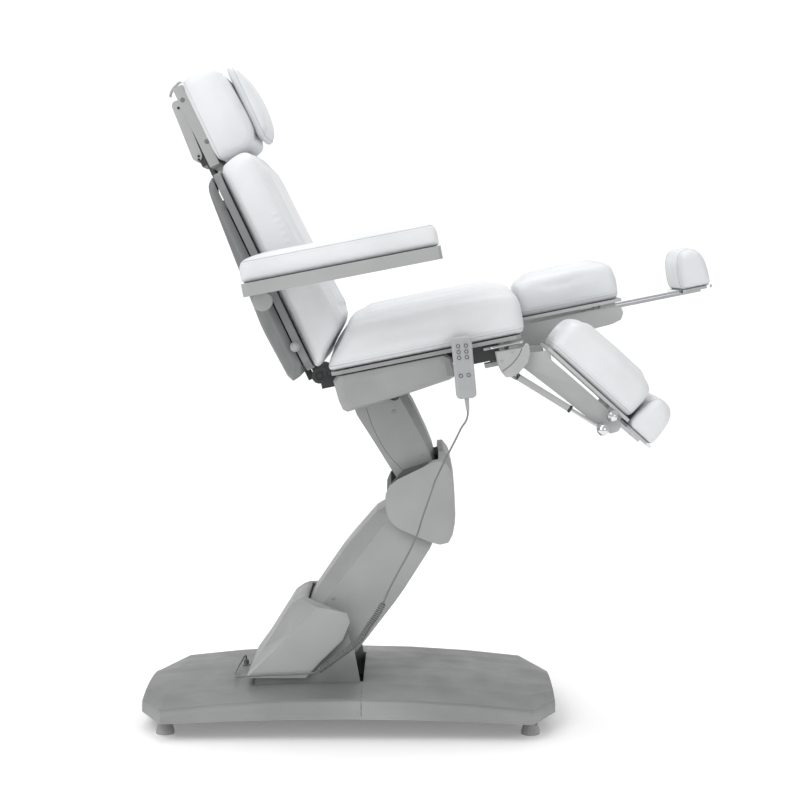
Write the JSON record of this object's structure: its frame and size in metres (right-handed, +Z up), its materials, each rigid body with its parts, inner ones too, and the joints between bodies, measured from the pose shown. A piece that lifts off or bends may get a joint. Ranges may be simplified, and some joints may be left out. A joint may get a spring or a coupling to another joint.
{
  "type": "podiatry chair",
  "caption": "Motorised treatment chair with split leg rests that swing and tilt, a reclining back, a jointed headrest and a two-arm lift on a low base.",
  "frame": {"origin": "on the floor, under the middle of the chair's overall box without its cord", "axes": "+Z up, +X from the back of the chair towards the feet, +Y towards the sitter's left"},
  "size_m": [1.264, 0.82, 1.4359],
  "materials": {
    "leatherette": "satin, soft grain",
    "grey_plastic": "matt, fine texture",
    "base_plastic": "matt, fine texture",
    "shell_plastic": "matt, fine texture",
    "grey_metal": "satin powder coat",
    "dark_steel": "satin black paint",
    "chrome": "polished",
    "foot_rubber": "matt",
    "handset_plastic": "matt",
    "key_plastic": "satin",
    "cord_rubber": "satin"
  },
  "bodies": {
    "base": {"base_frame": "dark_steel", "base_cover_rear": "base_plastic", "base_cover_front": "base_plastic", "pedestal_cover": "grey_plastic", "cord_plug": "cord_rubber", "cord_lower_run": "cord_rubber", "cord_coil": "cord_rubber", "cord_upper_run": "cord_rubber"},
    "foot_rear_right": {"foot_rear_right": "foot_rubber"},
    "foot_rear_left": {"foot_rear_left": "foot_rubber"},
    "foot_front_right": {"foot_front_right": "foot_rubber"},
    "foot_front_left": {"foot_front_left": "foot_rubber"},
    "lower_arm": {"lower_arm_beam": "dark_steel", "lower_arm_cover": "grey_plastic"},
    "knee": {"knee_block": "dark_steel", "knee_cover": "grey_plastic"},
    "upper_arm": {"upper_arm_beam": "dark_steel", "upper_arm_cover": "grey_plastic"},
    "carriage": {"tilt_carriage": "dark_steel"},
    "seat": {"seat_frame": "dark_steel", "seat_cover": "grey_plastic", "seat_cushion": "leatherette", "handset": "handset_plastic", "cord_handset_run": "cord_rubber"},
    "back": {"back_frame": "dark_steel", "back_shell": "shell_plastic", "back_cushion": "leatherette"},
    "headrest_posts": {"headrest_posts": "dark_steel"},
    "headrest_link": {"headrest_link": "grey_metal"},
    "headrest": {"headrest_plate": "grey_plastic", "headrest_cushion": "leatherette", "headrest_pillow": "leatherette"},
    "arm_rest_right": {"arm_rest_base_right": "grey_plastic", "arm_rest_cushion_right": "leatherette"},
    "leg_bracket_right": {"leg_bracket_right": "grey_metal"},
    "leg_right": {"leg_frame_right": "grey_metal", "calf_cushion_right": "leatherette"},
    "gas_spring_tube_right": {"gas_spring_tube_right": "grey_metal"},
    "gas_spring_rod_right": {"gas_spring_rod_right": "chrome"},
    "foot_slide_right": {"foot_slide_right": "chrome", "foot_cushion_right": "leatherette"},
    "slide_knob_right": {"slide_knob_right": "chrome"},
    "arm_rest_left": {"arm_rest_base_left": "grey_plastic", "arm_rest_cushion_left": "leatherette"},
    "leg_bracket_left": {"leg_bracket_left": "grey_metal"},
    "leg_left": {"leg_frame_left": "grey_metal", "calf_cushion_left": "leatherette"},
    "gas_spring_tube_left": {"gas_spring_tube_left": "grey_metal"},
    "gas_spring_rod_left": {"gas_spring_rod_left": "chrome"},
    "foot_slide_left": {"foot_slide_left": "chrome", "foot_cushion_left": "leatherette"},
    "slide_knob_left": {"slide_knob_left": "chrome"},
    "key_1_rear": {"key_1_rear": "key_plastic"},
    "key_1_front": {"key_1_front": "key_plastic"},
    "key_2_rear": {"key_2_rear": "key_plastic"},
    "key_2_front": {"key_2_front": "key_plastic"},
    "key_3_rear": {"key_3_rear": "key_plastic"},
    "key_3_front": {"key_3_front": "key_plastic"},
    "key_4_rear": {"key_4_rear": "key_plastic"},
    "key_4_front": {"key_4_front": "key_plastic"}
  },
  "joints": [
    {"name": "foot_turn_rear_right", "type": "hinge", "parent": "base", "child": "foot_rear_right", "pos_m": [-0.57503, -0.198, 0.02], "axis": [0, 0, 1], "continuous": true},
    {"name": "foot_turn_rear_left", "type": "hinge", "parent": "base", "child": "foot_rear_left", "pos_m": [-0.57503, 0.198, 0.02], "axis": [0, 0, 1], "continuous": true},
    {"name": "foot_turn_front_right", "type": "hinge", "parent": "base", "child": "foot_front_right", "pos_m": [0.21297, -0.198, 0.02], "axis": [0, 0, 1], "continuous": true},
    {"name": "foot_turn_front_left", "type": "hinge", "parent": "base", "child": "foot_front_left", "pos_m": [0.21297, 0.198, 0.02], "axis": [0, 0, 1], "continuous": true},
    {"name": "lift", "type": "hinge", "parent": "base", "child": "lower_arm", "pos_m": [-0.26103, 0, 0.128], "axis": [0, -1, 0], "range_deg": [-28, 1]},
    {"name": "knee_level", "type": "hinge", "parent": "lower_arm", "child": "knee", "pos_m": [-0.03105, 0, 0.45197], "axis": [0, -1, 0], "range_deg": [-1, 28]},
    {"name": "upper_arm_fold", "type": "hinge", "parent": "knee", "child": "upper_arm", "pos_m": [-0.02105, 0, 0.53497], "axis": [0, -1, 0], "range_deg": [-1, 28]},
    {"name": "carriage_level", "type": "hinge", "parent": "upper_arm", "child": "carriage", "pos_m": [-0.13604, 0, 0.75493], "axis": [0, -1, 0], "range_deg": [-28, 1]},
    {"name": "seat_tilt", "type": "hinge", "parent": "carriage", "child": "seat", "pos_m": [-0.13604, 0, 0.75493], "axis": [0, -1, 0], "range_deg": [-11.4, 8]},
    {"name": "recline", "type": "hinge", "parent": "seat", "child": "back", "pos_m": [-0.24302, 0, 0.76794], "axis": [0, -1, 0], "range_deg": [0, 75]},
    {"name": "headrest_height", "type": "slide", "parent": "back", "child": "headrest_posts", "axis": [-0.4305, 0, 0.9026], "range_m": [0, 0.06]},
    {"name": "headrest_swing", "type": "hinge", "parent": "headrest_posts", "child": "headrest_link", "pos_m": [-0.51195, 0, 1.24349], "axis": [0, -1, 0], "range_deg": [0, 35]},
    {"name": "headrest_tilt", "type": "hinge", "parent": "headrest_link", "child": "headrest", "pos_m": [-0.5551, 0, 1.35253], "axis": [0, -1, 0], "range_deg": [0, 45]},
    {"name": "arm_rest_lift_right", "type": "hinge", "parent": "back", "child": "arm_rest_right", "pos_m": [-0.34953, -0.26, 0.93318], "axis": [0, -1, 0], "range_deg": [0, 90]},
    {"name": "leg_swing_right", "type": "hinge", "parent": "seat", "child": "leg_bracket_right", "pos_m": [0.12863, -0.225, 0.80829], "axis": [0.1977, 0, -0.9803], "range_deg": [0, 22]},
    {"name": "leg_tilt_right", "type": "hinge", "parent": "leg_bracket_right", "child": "leg_right", "pos_m": [0.172, -0.14, 0.82091], "axis": [0, -1, 0], "range_deg": [-6.6, 53.4]},
    {"name": "spring_swing_right", "type": "hinge", "parent": "leg_bracket_right", "child": "gas_spring_tube_right", "pos_m": [0.17246, -0.256, 0.77816], "axis": [0, -1, 0], "range_deg": [-6.9, 55.1]},
    {"name": "spring_stroke_right", "type": "slide", "parent": "gas_spring_tube_right", "child": "gas_spring_rod_right", "axis": [0.8515, 0, -0.5243], "range_m": [-0.005, 0.0385]},
    {"name": "foot_reach_right", "type": "slide", "parent": "leg_right", "child": "foot_slide_right", "axis": [0.7431, 0, -0.6691], "range_m": [0, 0.15]},
    {"name": "knob_turn_right", "type": "hinge", "parent": "leg_right", "child": "slide_knob_right", "pos_m": [0.37556, -0.264, 0.6928], "axis": [0, -1, 0], "range_deg": [-180, 180]},
    {"name": "arm_rest_lift_left", "type": "hinge", "parent": "back", "child": "arm_rest_left", "pos_m": [-0.34953, 0.26, 0.93318], "axis": [0, -1, 0], "range_deg": [0, 90]},
    {"name": "leg_swing_left", "type": "hinge", "parent": "seat", "child": "leg_bracket_left", "pos_m": [0.12863, 0.225, 0.80829], "axis": [-0.1977, 0, 0.9803], "range_deg": [0, 22]},
    {"name": "leg_tilt_left", "type": "hinge", "parent": "leg_bracket_left", "child": "leg_left", "pos_m": [0.172, 0.14, 0.82091], "axis": [0, -1, 0], "range_deg": [-60, 0]},
    {"name": "spring_swing_left", "type": "hinge", "parent": "leg_bracket_left", "child": "gas_spring_tube_left", "pos_m": [0.17246, 0.256, 0.77816], "axis": [0, -1, 0], "range_deg": [-60.7, 0]},
    {"name": "spring_stroke_left", "type": "slide", "parent": "gas_spring_tube_left", "child": "gas_spring_rod_left", "axis": [0.9231, 0, 0.3846], "range_m": [-0.0432, 0]},
    {"name": "foot_reach_left", "type": "slide", "parent": "leg_left", "child": "foot_slide_left", "axis": [0.9803, 0, 0.1977], "range_m": [-0.133, 0.017]},
    {"name": "knob_turn_left", "type": "hinge", "parent": "leg_left", "child": "slide_knob_left", "pos_m": [0.39622, 0.264, 0.90795], "axis": [0, 1, 0], "range_deg": [-180, 180]},
    {"name": "press_key_1_rear", "type": "slide", "parent": "seat", "child": "key_1_rear", "axis": [0, 1, 0], "range_m": [0, 0.0008], "stiffness_N_per_m": 300},
    {"name": "press_key_1_front", "type": "slide", "parent": "seat", "child": "key_1_front", "axis": [0, 1, 0], "range_m": [0, 0.0008], "stiffness_N_per_m": 300},
    {"name": "press_key_2_rear", "type": "slide", "parent": "seat", "child": "key_2_rear", "axis": [0, 1, 0], "range_m": [0, 0.0008], "stiffness_N_per_m": 300},
    {"name": "press_key_2_front", "type": "slide", "parent": "seat", "child": "key_2_front", "axis": [0, 1, 0], "range_m": [0, 0.0008], "stiffness_N_per_m": 300},
    {"name": "press_key_3_rear", "type": "slide", "parent": "seat", "child": "key_3_rear", "axis": [0, 1, 0], "range_m": [0, 0.0008], "stiffness_N_per_m": 300},
    {"name": "press_key_3_front", "type": "slide", "parent": "seat", "child": "key_3_front", "axis": [0, 1, 0], "range_m": [0, 0.0008], "stiffness_N_per_m": 300},
    {"name": "press_key_4_rear", "type": "slide", "parent": "seat", "child": "key_4_rear", "axis": [0, 1, 0], "range_m": [0, 0.0008], "stiffness_N_per_m": 300},
    {"name": "press_key_4_front", "type": "slide", "parent": "seat", "child": "key_4_front", "axis": [0, 1, 0], "range_m": [0, 0.0008], "stiffness_N_per_m": 300}
  ],
  "couplings": [
    {"joint": "knee_level", "follows": "lift", "ratio": -1},
    {"joint": "upper_arm_fold", "follows": "lift", "ratio": -1},
    {"joint": "carriage_level", "follows": "lift", "ratio": 1},
    {"joint": "spring_swing_right", "follows": "leg_tilt_right", "ratio": 1.03},
    {"joint": "spring_stroke_right", "follows": "leg_tilt_right", "m_per_rad": 0.041},
    {"joint": "spring_swing_left", "follows": "leg_tilt_left", "ratio": 1.01},
    {"joint": "spring_stroke_left", "follows": "leg_tilt_left", "m_per_rad": 0.041}
  ]
}
